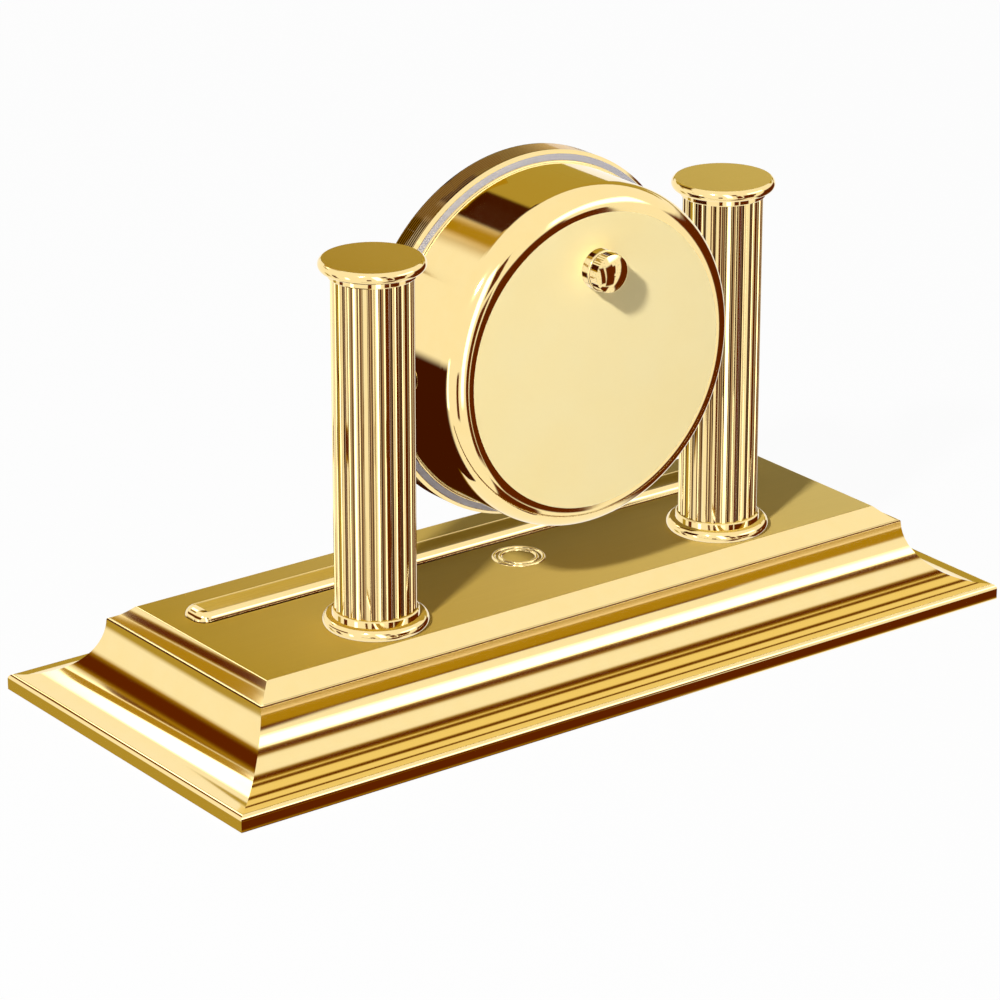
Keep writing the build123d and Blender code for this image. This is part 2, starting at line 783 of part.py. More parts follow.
def movement_front():
    """Moulded tray with the battery divider, the posts and the centre tube."""
    case = Pos(0, 0, box_front) * extrude(box_outline(0), box_back_inner - box_front)
    case -= Pos(0, 0, box_inner) * extrude(box_outline(box_wall), box_rear - box_inner)
    case += slab(-box_inside, box_inside, divider_top - divider_thickness, divider_top,
                 box_inner, box_back_inner)
    for x, y in box_posts():
        case += rod(post_radius, box_inner, box_back_inner, x, y)
        case -= rod(box_screw_radius + push_fit, box_back_inner - box_screw_length, box_rear, x, y)
    for x, y in bridge_posts():
        case += rod(bridge_pad, box_inner, bridge_front, x, y)
        case -= rod(bridge_screw_radius + push_fit, bridge_front - bridge_screw_length, bridge_rear, x, y)
    case += rod(tube_radius, dial_front, box_inner)
    case -= rod(hour_pipe_radius + running_fit, dial_front - overrun, box_inner + overrun)
    hole_end = box_inner - pivot_hole_depth
    case -= rod(minute_arbor_radius + running_fit, hole_end, box_inner + overrun, 0, motion_distance)
    case -= rod(setting_pivot_radius + running_fit, hole_end, box_inner + overrun, 0, knob_y)
    for hole in dial_feet(dial_foot_radius + push_fit, dial_rear + dial_foot_length + end_play):
        case -= hole
    return case


stator_front = coil_depth - stator_thickness / 2
stator_rear = coil_depth + stator_thickness / 2
stator_left = rotor_x - stator_bar_width / 2
board_front = box_back_inner - board_standoff - board_thickness
board_left = -box_inside + board_inset


def stator_posts():
    x = stator_left + stator_arm / 2
    return [(x, stator_bottom + stator_arm / 2), (x, stator_top - stator_arm / 2)]


def board_posts():
    x = board_left + board_width / 2
    return [(x, board_low + standoff_inset), (x, board_high - standoff_inset)]


def movement_back():
    """Back of the box, with the rear pivot holes, the battery window and posts for the inside."""
    back = Pos(0, 0, box_back_inner) * extrude(box_outline(0), box_wall)
    for x, y in stator_posts():
        back += rod(stator_post_radius, stator_rear, box_back_inner + box_wall / 2, x, y)
    for x, y in board_posts():
        back += rod(standoff_radius, board_front + board_thickness, box_back_inner + box_wall / 2, x, y)
    window_x = box_inside - window_margin
    back -= slab(-window_x, window_x, box_bottom + box_wall + window_margin,
                 divider_top - divider_thickness, box_back_inner - overrun, box_rear + overrun)
    back -= rod(setting_arbor_radius + running_fit, box_back_inner - overrun, box_rear + overrun, 0, knob_y)
    hole_end = box_back_inner + pivot_hole_depth
    for radius, x, y in ((second_arbor_radius, 0, 0), (step_arbor_radius, step_x, step_y),
                         (step_arbor_radius, rotor_x, rotor_y)):
        back -= rod(radius + running_fit, box_back_inner - overrun, hole_end, x, y)
    for x, y in box_posts():
        back -= rod(box_screw_radius + push_fit, box_back_inner - overrun, box_rear + overrun, x, y)
    return back


def movement_screws():
    screws = []
    for x, y in box_posts():
        screw = rod(box_screw_radius, box_rear - box_screw_length, box_rear, x, y)
        screws.append(screw + rod(box_screw_head_radius, box_rear, box_rear + box_screw_head, x, y))
    return screws


def train_bridge():
    """Brass plate that carries the inner pivots of both trains."""
    length = bridge_right - bridge_left + 2 * bridge_half_width
    plan = Pos((bridge_left + bridge_right) / 2, bridge_y) * SlotOverall(length, 2 * bridge_half_width)
    for x, y in ((0, motion_distance), (rotor_x, rotor_y)):
        limb = y + bridge_pad - bridge_y
        plan += Pos(x, bridge_y + limb / 2) * Rectangle(2 * bridge_pad, limb)
    plate = Pos(0, 0, bridge_front) * extrude(plan, bridge_thickness)
    holes = [(second_arbor_radius, 0, 0), (minute_arbor_radius, 0, motion_distance),
             (step_arbor_radius, step_x, step_y), (step_arbor_radius, rotor_x, rotor_y)]
    holes += [(bridge_screw_radius, x, y) for x, y in bridge_posts()]
    for radius, x, y in holes:
        plate -= rod(radius + running_fit, bridge_front - overrun, bridge_rear + overrun, x, y)
    return plate


def bridge_screws():
    screws = []
    for x, y in bridge_posts():
        screw = rod(bridge_screw_radius, bridge_rear - bridge_screw_length, bridge_rear, x, y)
        head = rod(bridge_screw_head_radius, bridge_rear, bridge_rear + bridge_screw_head, x, y)
        screws.append(screw + head)
    return screws


def along_x(radius, start, end, y, z):
    return Pos(0, y, z) * Rot(0, 90, 0) * rod(radius, start, end)


def battery():
    body = along_x(cell_radius, -cell_half, cell_half - nub_length, cell_y, cell_depth)
    return body + along_x(nub_radius, cell_half - nub_length, cell_half, cell_y, cell_depth)


def battery_contact(side):
    """Sprung strip between the box wall and one end of the cell; side is 1 or -1 along x."""
    half = contact_size / 2
    face = box_inside - contact_thickness
    strip = slab(face, box_inside, cell_y - half, cell_y + half, cell_depth - half, cell_depth + half)
    strip += along_x(contact_bump_radius, cell_half, face, cell_y, cell_depth)
    return strip if side > 0 else mirror(strip, Plane.YZ)


def stator_plate():
    """Soft-iron plate round the rotor, with two arms to the coil's core."""
    arm_end = coil_x + coil_end
    plate = slab(stator_left, stator_left + stator_bar_width, stator_bottom, stator_top,
                 stator_front, stator_rear)
    for low in (stator_bottom, stator_top - stator_arm):
        plate += slab(stator_left, arm_end, low, low + stator_arm, stator_front, stator_rear)
    hole = rotor_radius + stator_hole_gap
    return plate - rod(hole, stator_front - overrun, stator_rear + overrun, rotor_x, rotor_y)


def coil():
    """Wound bobbin on its core, between the stator's arms."""
    low = stator_bottom + stator_arm
    high = stator_top - stator_arm
    outline = ((0, low), (coil_radius, low), (coil_radius, low + coil_flange),
               (coil_waist_radius, low + coil_flange), (coil_waist_radius, high - coil_flange),
               (coil_radius, high - coil_flange), (coil_radius, high), (0, high))
    return Pos(coil_x, 0, coil_depth) * Rot(-90, 0, 0) * turned(outline)


def circuit_board():
    return slab(board_left, board_left + board_width, board_low, board_high,
                board_front, board_front + board_thickness)


def control_chip():
    half = chip_size / 2
    x = board_left + board_width / 2
    return slab(x - half, x + half, board_middle - half, board_middle + half,
                board_front - chip_height, board_front)


def quartz_can():
    x = board_left + board_width / 2
    y = board_middle + chip_size
    return Pos(x, y, board_front - can_radius) * Rot(-90, 0, 0) * rod(can_radius, 0, can_length)


# Turning pieces, in the clock's frame


def setting_arbor():
    start = box_inner + end_play
    arbor = rod(setting_arbor_radius, start, arbor_rear)
    arbor += rod(setting_pivot_radius, start - pivot_hole_depth, start)
    pinion = spur(setting_teeth, setting_module, pinion_width, gap_at(-90, setting_teeth))
    arbor += Pos(0, 0, cannon_front) * pinion
    return Pos(0, knob_y, 0) * arbor


def setting_knob():
    """Turned knob: smooth collar, bead, knurled band and a domed end."""
    bead_start = knob_front + knob_collar
    knurl_start = bead_start + knob_bead
    knurl_end = knurl_start + knurl_length
    knob = rod(knob_radius, knob_front, bead_start)
    bead_flat = knob_bead_radius - knob_bead / 2
    ring = [Polyline((bead_flat, 0, knurl_start), (0, 0, knurl_start), (0, 0, bead_start),
                     (bead_flat, 0, bead_start)),
            ThreePointArc((bead_flat, 0, bead_start), (knob_bead_radius, 0, bead_start + knob_bead / 2),
                          (bead_flat, 0, knurl_start))]
    knob += revolve(make_face(ring), Axis.Z)
    points = []
    for index in range(2 * knurl_count):
        radius = knurl_radius - knurl_depth * (index % 2)
        angle = pi * index / knurl_count
        points.append((radius * cos(angle), radius * sin(angle)))
    knob += Pos(0, 0, knurl_start) * extrude(make_face(Polyline(*points, close=True)), knurl_length)
    face = knurl_radius - knurl_depth
    dome = [Polyline((face, 0, knurl_end), (0, 0, knurl_end), (0, 0, knob_rear)),
            TangentArc((0, 0, knob_rear), (face, 0, knurl_end), tangent=(1, 0, 0))]
    knob += revolve(make_face(dome), Axis.Z)
    knob -= rod(setting_arbor_radius + push_fit, knob_front - overrun, arbor_rear)
    return Pos(0, knob_y, 0) * knob


def minute_wheel():
    """Wheel and pinion between the cannon and the hour wheel."""
    pinion_front = hour_wheel_front - end_play
    arbor = rod(minute_arbor_radius, box_inner + end_play - pivot_hole_depth, bridge_rear)
    pinion = spur(hour_pinion_teeth, hour_module, hour_wheel_width + 2 * end_play, -90)
    arbor += Pos(0, 0, pinion_front) * pinion
    hub = hour_module * (hour_pinion_teeth / 2 - dedendum_share)
    arbor += rod(hub, box_inner + end_play, bridge_front - end_play)
    wheel = spur(minute_teeth, setting_module, minute_wheel_width, 90)
    arbor += Pos(0, 0, minute_wheel_front) * wheel
    return Pos(0, motion_distance, 0) * arbor


def cannon():
    """Minute pipe with its pinion, turning on the second arbor."""
    pipe = rod(cannon_radius, minute_hand_front, bridge_front - end_play)
    pinion = spur(cannon_teeth, setting_module, pinion_width, gap_at(90, cannon_teeth))
    pipe += Pos(0, 0, cannon_front) * pinion
    return pipe - rod(second_arbor_radius + running_fit, minute_hand_front - overrun, bridge_front)


def hour_wheel():
    """Hour pipe with its wheel, turning on the cannon inside the centre tube."""
    pipe = rod(hour_pipe_radius, hour_hand_front, cannon_front - end_play)
    pipe += rod(hub_radius, box_inner + end_play, hour_wheel_rear)
    wheel = spur(hour_teeth, hour_module, hour_wheel_width, gap_at(90, hour_teeth))
    pipe += Pos(0, 0, hour_wheel_front) * wheel
    return pipe - rod(cannon_radius + running_fit, hour_hand_front - overrun, cannon_front)


def second_wheel():
    arbor = rod(second_arbor_radius, second_hand_front, box_back_inner + pivot_hole_depth - end_play)
    arbor += rod(step_hub_radius, bridge_rear + end_play, box_back_inner - end_play)
    wheel = spur(second_teeth, going_module, going_wheel_width, gap_at(step_direction, second_teeth))
    return arbor + Pos(0, 0, second_wheel_front) * wheel


def going_arbor():
    """Arbor between the bridge and the back of the box."""
    arbor = rod(step_arbor_radius, bridge_front, box_back_inner + pivot_hole_depth - end_play)
    return arbor + rod(step_hub_radius, bridge_rear + end_play, box_back_inner - end_play)


def intermediate_wheel():
    arbor = going_arbor()
    pinion = spur(step_pinion_teeth, going_module, step_pinion_width, step_direction + 180)
    arbor += Pos(0, 0, step_pinion_front) * pinion
    wheel = spur(step_teeth, going_module, going_wheel_width, rotor_direction)
    arbor += Pos(0, 0, step_wheel_front) * wheel
    return Pos(step_x, step_y, 0) * arbor


def rotor():
    """Motor rotor: a pinion and a round magnet."""
    arbor = going_arbor()
    pinion = spur(rotor_teeth, going_module, going_wheel_width + 2 * end_play,
                  gap_at(rotor_direction + 180, rotor_teeth))
    arbor += Pos(0, 0, step_wheel_front - end_play) * pinion
    arbor += rod(rotor_radius, rotor_front, rotor_front + rotor_width)
    return Pos(rotor_x, rotor_y, 0) * arbor


# Hands, in the clock's frame, shown at ten past ten


def leaf_hand(length, width, tail, bore, front, angle):
    """Flat leaf-shaped hand on a round boss; angle is clockwise from twelve, seen from the front."""
    belly = length * belly_share
    leaf = make_face(Polyline((0, length), (width / 2, belly), (0, -tail), (-width / 2, belly), close=True))
    plan = leaf + Circle(hand_boss_radius) - Circle(bore + push_fit)
    return Rot(0, 0, angle) * Pos(0, 0, front) * extrude(plan, hand_thickness)


def hour_hand():
    return leaf_hand(hour_length, hour_width, hand_tail, hour_pipe_radius, hour_hand_front, hour_angle)


def minute_hand():
    return leaf_hand(minute_length, minute_width, hand_tail, cannon_radius, minute_hand_front, minute_angle)


def second_hand():
    bar = Pos(0, (second_length - second_tail) / 2) * Rectangle(second_width, second_length + second_tail)
    plan = bar + Circle(second_boss_radius) - Circle(second_arbor_radius + push_fit)
    return Rot(0, 0, second_angle) * Pos(0, 0, second_hand_front) * extrude(plan, hand_thickness)


# All nodes, placed in the part's frame


def on_clock(pieces):
    """Pieces drawn in the clock's frame, moved to the part's frame."""
    if isinstance(pieces, list):
        return [clock_frame * piece for piece in pieces]
    return clock_frame * pieces


def pair(piece):
    """A right-hand piece and its mirror image on the left."""
    return [piece, mirror(piece, Plane.YZ)]


right_place = column_places()["right"]
nodes = {
    "felt_pad": felt_pad(),
    "base_plate": base_plate(),
    "base_plate_screws": base_plate_screws(),
    "plinth_shell": plinth_shell(),
    "pen_rest": pen_rest(),
    "pen_rest_clips": pen_rest_clips(),
    "column_rods": pair(column_rod(*right_place)),
    "column_nuts": pair(column_nut(*right_place)),
    "column_washers": pair(column_washer(*right_place)),
    "pivot_screws": pair(pivot_screw()),
    "friction_washers": pair(friction_washer()),
    "pivot_bushes": pair(pivot_bush()),
}
for name, maker in (("column_foot", column_foot), ("column_shaft", column_shaft),
                    ("column_capital", column_capital)):
    nodes[name + "_right"], nodes[name + "_left"] = pair(maker(*right_place))
for maker in (bezel, crystal, crystal_gasket, rehaut_ring, dial, hour_markers, mounting_ring, rear_case,
              movement_front, movement_back, movement_screws, train_bridge, bridge_screws, battery,
              stator_plate, coil, circuit_board, control_chip, quartz_can, setting_arbor, setting_knob,
              minute_wheel, cannon, hour_wheel, second_wheel, intermediate_wheel, rotor,
              hour_hand, minute_hand, second_hand):
    nodes[maker.__name__] = on_clock(maker())
nodes["battery_contact_plus"] = on_clock(battery_contact(1))
nodes["battery_contact_minus"] = on_clock(battery_contact(-1))

os.makedirs("parts", exist_ok=True)
for name, shape in nodes.items():
    solids = shape if isinstance(shape, list) else [shape]
    export_step(Compound(children=[solid for piece in solids for solid in piece.solids()]),
                f"parts/{name}.step")
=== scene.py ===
from math import cos, pi, radians, sin

import bpy
from mathutils import Matrix, Vector


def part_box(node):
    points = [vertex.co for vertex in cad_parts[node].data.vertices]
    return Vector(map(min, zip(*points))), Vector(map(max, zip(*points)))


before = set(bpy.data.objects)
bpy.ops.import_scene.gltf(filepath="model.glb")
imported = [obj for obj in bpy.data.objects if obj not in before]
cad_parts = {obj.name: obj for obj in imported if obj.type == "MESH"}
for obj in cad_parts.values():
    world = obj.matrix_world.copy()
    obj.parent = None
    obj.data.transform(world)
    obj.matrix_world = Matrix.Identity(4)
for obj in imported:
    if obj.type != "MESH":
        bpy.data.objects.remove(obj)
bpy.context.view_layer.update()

# Felt pad: a sheet of pressed green felt, cut a little smaller than the plinth and glued
# under the base plate, so that the brass never touches the desk.


def linear(code):
    """An sRGB hex colour as the linear colour that a socket takes."""
    parts = [int(code[i:i + 2], 16) / 255 for i in (1, 3, 5)]
    return [c / 12.92 if c <= 0.04045 else ((c + 0.055) / 1.055) ** 2.4 for c in parts] + [1]


def material(name):
    """A new material and its own surface shader."""
    made = bpy.data.materials.new(name)
    made.use_nodes = True
    return made, made.node_tree.nodes["Principled BSDF"]


def join(made, node, sockets):
    """Sets or links a node's sockets."""
    for name, value in sockets.items():
        if isinstance(value, bpy.types.NodeSocket):
            made.node_tree.links.new(value, node.inputs[name])
        else:
            node.inputs[name].default_value = value


def add(made, kind, sockets=None, **settings):
    """One node in a material, with its settings, and its sockets set or linked."""
    node = made.node_tree.nodes.new("ShaderNode" + kind)
    for name, value in settings.items():
        setattr(node, name, value)
    join(made, node, sockets or {})
    return node


def grain(made, mm, stretch=(1, 1, 1), detail=3.0):
    """A random pattern from 0 to 1, with marks of that many millimetres, drawn out along an axis."""
    place = add(made, "TexCoord")
    scale = [1000 / (mm * longer) for longer in stretch]
    scaled = add(made, "Mapping", {"Vector": place.outputs["Object"], "Scale": scale})
    pattern = add(made, "TexNoise", {"Vector": scaled.outputs[0], "Scale": 1.0, "Detail": detail})
    return pattern.outputs[0]


def dress(made, *nodes):
    """Gives CAD nodes their material. They mirror the studio and not one another."""
    for node in nodes:
        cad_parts[node].data.materials.clear()
        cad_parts[node].data.materials.append(made)
        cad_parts[node].visible_glossy = False


# Tangled short fibres, with no shine: a painted shade darkens the hollows between them and a
# painted highlight makes the raised nap paler. The tangles are drawn coarser than the fibres,
# so that they show.
felt, shader = material("felt_green_pressed")
fibre = grain(felt, mm=0.5, detail=8.0)
colour = add(felt, "MixRGB", {0: fibre, 1: linear("#0B3522"), 2: linear("#2F7450")})
nap = add(felt, "Bump", {"Height": fibre, "Strength": 0.7, "Distance": 0.0003})
join(felt, shader, {"Base Color": colour.outputs[0], "Roughness": 0.95, "Sheen Weight": 0.3,
                    "Normal": nap.outputs[0]})
dress(felt, "felt_pad")

# Base plate and its six screws: a steel sheet that closes the hollow plinth, zinc plated,
# held by countersunk screws.

# Bright zinc: a cool grey with cloudy patches and the faint streaks of rolled sheet.
zinc, shader = material("zinc_plate_bright")
colour = add(zinc, "MixRGB", {0: grain(zinc, mm=6), 1: linear("#A4A9B0"), 2: linear("#CFCDC4")})
streak = add(zinc, "MapRange", {"Value": grain(zinc, mm=0.3, stretch=(14, 1, 1)),
                                "To Min": 0.25, "To Max": 0.42})
join(zinc, shader, {"Base Color": colour.outputs[0], "Metallic": 1.0, "Roughness": streak.outputs[0]})
dress(zinc, "base_plate", "base_plate_screws")

# Plinth: a hollow brass moulding with a cove, plated with gold. The mouldings are polished
# to a mirror; the flat top is left with a satin grain around two polished beads.

SATIN_ROUGH = 0.34
SATIN_OUT = 0.9992        # cosine of the lean at which a flat face stops being satin
SATIN_FULL = 0.9999       # and of the lean up to which it is satin all over


def gold_plate(made, shader, brown_share=None, satin=None, face=None, body=0.2):
    """Gold on polished brass: a mirror, browner by the brown share (painted shade in creases, flutes,
    grooves and at a foot; real specks of old polish on the knob), and a satin face where satin is 1.
    """
    haze = grain(made, mm=4)
    colour = add(made, "MixRGB", {0: haze, 1: linear("#FFE29C"), 2: linear("#FFE6A6")})
    if brown_share is not None:
        colour = add(made, "MixRGB", {0: brown_share, 1: colour.outputs[0], 2: linear("#5E3206")})
    if satin is None:
        metal = 1.0
        polish = add(made, "MapRange", {"Value": haze, "To Min": 0.03, "To Max": 0.09})
    else:
        colour = add(made, "MixRGB", {0: satin, 1: colour.outputs[0], 2: face})
        metal = add(made, "MapRange", {"Value": satin, "To Min": 1.0, "To Max": body}).outputs[0]
        polish = add(made, "MapRange", {"Value": satin, "To Min": 0.06, "To Max": SATIN_ROUGH})
    join(made, shader, {"Base Color": colour.outputs[0], "Roughness": polish.outputs[0],
                        "Metallic": metal, "Specular IOR Level": 0.0})


LIP_HEIGHT = 0.0211
CREASE_HALF = 0.00016
SHADE_REACH = 0.11        # the top's shade changes this far each way from the middle
LINE_DARK = 0.94          # a satin line darkens or lightens the face by this much
LINE_PALE = 1.06

# A warm mirror on the mouldings, with a painted shade in the crease under the lip, and a satin
# top painted an olive shade of the gold that darkens towards one end, with lines along the
# length. Real ones are as fine as a hair; these are drawn coarser, so that they show.
plinth, shader = material("gold_plate_satin_top")
place = add(plinth, "TexCoord")
upward = add(plinth, "VectorMath", {0: place.outputs["Normal"], 1: (0, 0, 1)}, operation="DOT_PRODUCT")
top = add(plinth, "MapRange", {"Value": upward.outputs["Value"], "From Min": SATIN_OUT,
                               "From Max": SATIN_FULL})
spot = add(plinth, "SeparateXYZ", {0: place.outputs["Object"]})
fade = add(plinth, "MapRange", {"Value": spot.outputs["X"], "From Min": -SHADE_REACH,
                                "From Max": SHADE_REACH})
# Painted shade: the satin top's olive, lighter towards minus x and darker towards plus x.
painted_olive_shade = add(plinth, "MixRGB", {0: fade.outputs[0], 1: linear("#CDB56C"), 2: linear("#967616")})
lines = add(plinth, "MapRange", {"Value": grain(plinth, mm=0.2, stretch=(80, 1, 1)),
                                 "To Min": LINE_DARK, "To Max": LINE_PALE})
face = add(plinth, "VectorMath", {0: painted_olive_shade.outputs[0], "Scale": lines.outputs[0]}, operation="SCALE")
# Painted shade: a thin brown line in the crease under the lip.
painted_lip_shade = add(plinth, "Math", {0: spot.outputs["Z"], 1: LIP_HEIGHT, 2: CREASE_HALF}, operation="COMPARE")
gold_plate(plinth, shader, brown_share=painted_lip_shade.outputs[0], satin=top.outputs[0], face=face.outputs[0])
dress(plinth, "plinth_shell")

# Pen rest and its two clips: a milled brass bar with rounded edges, set on the plinth by
# two pegs, which push-on steel rings hold from below.

REST_Y = -0.0137          # middle of the bar
REST_FOOT = 0.0252        # a painted shade lies below this, where the bar meets the plate
GROOVE_HALF_WIDTH = 0.0033
GROOVE_HALF_LENGTH = 0.0871
SIDE_FADE = 0.0003        # the satin of the groove fades out over this at its sides
END_FADE = 0.0002         # and over this at its ends

# The same mirror on the rim, with a painted shade along its foot; the groove's floor is satin, painted the
# plate's olive shade with fine lines along it.
bar, shader = material("gold_plate_satin_groove")
place = add(bar, "TexCoord")
spot = add(bar, "SeparateXYZ", {0: place.outputs["Object"]})
aside = add(bar, "Math", {0: spot.outputs["Y"], 1: REST_Y}, operation="SUBTRACT")
aside = add(bar, "Math", {0: aside.outputs[0]}, operation="ABSOLUTE")
inside = add(bar, "MapRange", {"Value": aside.outputs[0], "From Min": GROOVE_HALF_WIDTH - SIDE_FADE,
                               "From Max": GROOVE_HALF_WIDTH, "To Min": 1.0, "To Max": 0.0})
endwise = add(bar, "Math", {0: spot.outputs["X"]}, operation="ABSOLUTE")
within = add(bar, "MapRange", {"Value": endwise.outputs[0], "From Min": GROOVE_HALF_LENGTH - END_FADE,
                               "From Max": GROOVE_HALF_LENGTH, "To Min": 1.0, "To Max": 0.0})
floor_share = add(bar, "Math", {0: inside.outputs[0], 1: within.outputs[0]}, operation="MULTIPLY")
# Painted shade: the groove floor's olive, a darker copy of the gold, with lines along it.
olive_shade_and_grain = add(bar, "MixRGB", {0: grain(bar, mm=0.3, stretch=(60, 1, 1)), 1: linear("#A5842B"),
                           2: linear("#BE9F4A")})
# Painted shade: a thin brown line where the bar meets the plate.
foot = add(bar, "Math", {0: spot.outputs["Z"], 1: REST_FOOT}, operation="LESS_THAN")
gold_plate(bar, shader, brown_share=foot.outputs[0], satin=floor_share.outputs[0], face=olive_shade_and_grain.outputs[0])
dress(bar, "pen_rest")
dress(zinc, "pen_rest_clips")

# Columns: fluted brass tubes between turned rings, each drawn together by a steel tie rod
# with a washer and a nut under the plinth's top.

COLUMN_X = 0.05447
COLUMN_Y = 0.01543
FLUTES = 24
CAPS_REACH = 0.08         # from the middle of the clock past the outer edge of a capital

# Mirror gold, with a painted brown shade and dark reflection along the bottom of every flute.
shaft, shader = material("gold_plate_painted_flute_shade")
place = add(shaft, "TexCoord")
spot = add(shaft, "SeparateXYZ", {0: place.outputs["Object"]})
outward = add(shaft, "Math", {0: spot.outputs["X"]}, operation="ABSOLUTE")
across = add(shaft, "Math", {0: outward.outputs[0], 1: COLUMN_X}, operation="SUBTRACT")
deep = add(shaft, "Math", {0: spot.outputs["Y"], 1: COLUMN_Y}, operation="SUBTRACT")
turn = add(shaft, "Math", {0: deep.outputs[0], 1: across.outputs[0]}, operation="ARCTAN2")
turn = add(shaft, "Math", {0: turn.outputs[0], 1: FLUTES}, operation="MULTIPLY")
crest = add(shaft, "Math", {0: turn.outputs[0]}, operation="COSINE")
# Painted shade and dark reflection: brown in the bottom of every flute.
painted_flute_shade = add(shaft, "MapRange", {"Value": crest.outputs[0], "From Min": -1.0, "From Max": -0.1,
                                 "To Min": 0.95, "To Max": 0.0})
gold_plate(shaft, shader, brown_share=painted_flute_shade.outputs[0])
dress(shaft, "column_shaft_left", "column_shaft_right")

# Mirror gold on the rings, and a satin on the flat top of each capital, painted an olive shade of the gold
# that is lighter towards one end of the clock, with fine grain.
cap, shader = material("gold_plate_satin_cap")
place = add(cap, "TexCoord")
upward = add(cap, "VectorMath", {0: place.outputs["Normal"], 1: (0, 0, 1)}, operation="DOT_PRODUCT")
top = add(cap, "MapRange", {"Value": upward.outputs["Value"], "From Min": SATIN_OUT,
                            "From Max": SATIN_FULL})
spot = add(cap, "SeparateXYZ", {0: place.outputs["Object"]})
fade = add(cap, "MapRange", {"Value": spot.outputs["X"], "From Min": -CAPS_REACH, "From Max": CAPS_REACH})
# Painted shade: the capitals' olive tops, lighter towards minus x and darker towards plus x.
painted_olive_shade = add(cap, "MixRGB", {0: fade.outputs[0], 1: linear("#C8AC58"), 2: linear("#967316")})
lines = add(cap, "MapRange", {"Value": grain(cap, mm=0.3), "To Min": LINE_DARK, "To Max": LINE_PALE})
olive_shade_and_grain = add(cap, "VectorMath", {0: painted_olive_shade.outputs[0], "Scale": lines.outputs[0]}, operation="SCALE")
gold_plate(cap, shader, satin=top.outputs[0], face=olive_shade_and_grain.outputs[0])
dress(cap, "column_foot_left", "column_foot_right", "column_capital_left", "column_capital_right")
dress(zinc, "column_rods", "column_nuts", "column_washers")

# Pivots: a shouldered steel screw in each column, a nylon friction washer and a brass bush
# in the side of the clock, on which the drum tilts.

# Moulded nylon: milky, faintly cloudy and soft in its shine.
nylon, shader = material("nylon_moulded")
colour = add(nylon, "MixRGB", {0: grain(nylon, mm=2), 1: linear("#D9D4C5"), 2: linear("#EEEADD")})
join(nylon, shader, {"Base Color": colour.outputs[0], "Roughness": 0.45})
# Lacquered brass: satin yellow with fine turning lines and slight tarnish.
brass, shader = material("brass_satin_lacquered")
colour = add(brass, "MixRGB", {0: grain(brass, mm=3), 1: linear("#B98A3C"), 2: linear("#E0B968")})
cut = add(brass, "MapRange", {"Value": grain(brass, mm=0.2, stretch=(1, 9, 1)),
                              "To Min": 0.2, "To Max": 0.36})
join(brass, shader, {"Base Color": colour.outputs[0], "Metallic": 1.0, "Roughness": cut.outputs[0]})
dress(zinc, "pivot_screws")
dress(nylon, "friction_washers")
dress(brass, "pivot_bushes")

# Rear case: a drawn brass cup with a bead at its mouth and a large round at the back,
# gold plated; its flat back is lapped to a silky finish.

SILK_OUT = 0.9985         # cosine of the lean at which the back stops being silky

# Mirror on the side and the round; a pale, milky gold on the flat.
case, shader = material("gold_plate_silky_back")
place = add(case, "TexCoord")
backward = add(case, "VectorMath", {0: place.outputs["Normal"], 1: (0, 1, 0)}, operation="DOT_PRODUCT")
flat = add(case, "MapRange", {"Value": backward.outputs["Value"], "From Min": SILK_OUT,
                              "From Max": SATIN_FULL})
silk = add(case, "MixRGB", {0: grain(case, mm=20), 1: linear("#FFE9A6"), 2: linear("#FFEFB8")})
gold_plate(case, shader, satin=flat.outputs[0], face=silk.outputs[0], body=0.15)
dress(case, "rear_case")

# Mounting ring: a turned steel ring, nickel plated, that closes the bezel from behind,
# clamps the dial and carries the rear case on its spigot.

DRUM_AXIS = 0.087         # height of the drum's axis
TURNING_FEED = 0.001 / 6  # a sixth of a millimetre for each turn of the work

# Cool lilac grey, with fine lines that run round the ring.
ring, shader = material("nickel_turned")
place = add(ring, "TexCoord")
flat = add(ring, "VectorMath", {0: place.outputs["Object"], 1: (0, 0, DRUM_AXIS)}, operation="SUBTRACT")
flat = add(ring, "VectorMath", {0: flat.outputs[0], 1: (1, 0, 1)}, operation="MULTIPLY")
reach = add(ring, "VectorMath", {0: flat.outputs[0]}, operation="LENGTH")
lines = add(ring, "TexNoise", {"W": reach.outputs["Value"], "Scale": 1 / TURNING_FEED},
            noise_dimensions="1D")
colour = add(ring, "MixRGB", {0: lines.outputs[0], 1: linear("#B4B6C6"), 2: linear("#D3D4DE")})
join(ring, shader, {"Base Color": colour.outputs[0], "Metallic": 0.5, "Roughness": 0.38})
dress(ring, "mounting_ring")

# Movement: a black moulded box in two halves with a brass bridge, brass motion work,
# acetal going wheels, a stepping motor, a circuit board and one AAA cell.

WIRE_PITCH = 0.0002417    # from one turn of the coil to the next
WAVE_LENGTH = pi / 10     # of the wave pattern at a scale of 1
TRACK_PITCH = 0.0007143   # from one row of the board's tracks to the next
ROW_HEIGHT = 0.25         # of the brick pattern at a scale of 1
BAND_WIDTH = 0.011        # of the ochre band on the cell, from its plus end
BAND_EDGE = 0.0002

# Moulded plastic with a fine spark texture: nearly black, with a soft sheen.
moulded, shader = material("plastic_black_spark_texture")
sparks = grain(moulded, mm=0.4)
colour = add(moulded, "MixRGB", {0: sparks, 1: linear("#151517"), 2: linear("#2B2B2E")})
pits = add(moulded, "Bump", {"Height": sparks, "Strength": 0.3, "Distance": 0.0001})
join(moulded, shader, {"Base Color": colour.outputs[0], "Roughness": 0.55, "Normal": pits.outputs[0]})
dress(moulded, "movement_front", "movement_back")
dress(zinc, "movement_screws", "bridge_screws")
dress(brass, "train_bridge", "minute_wheel", "cannon", "hour_wheel")
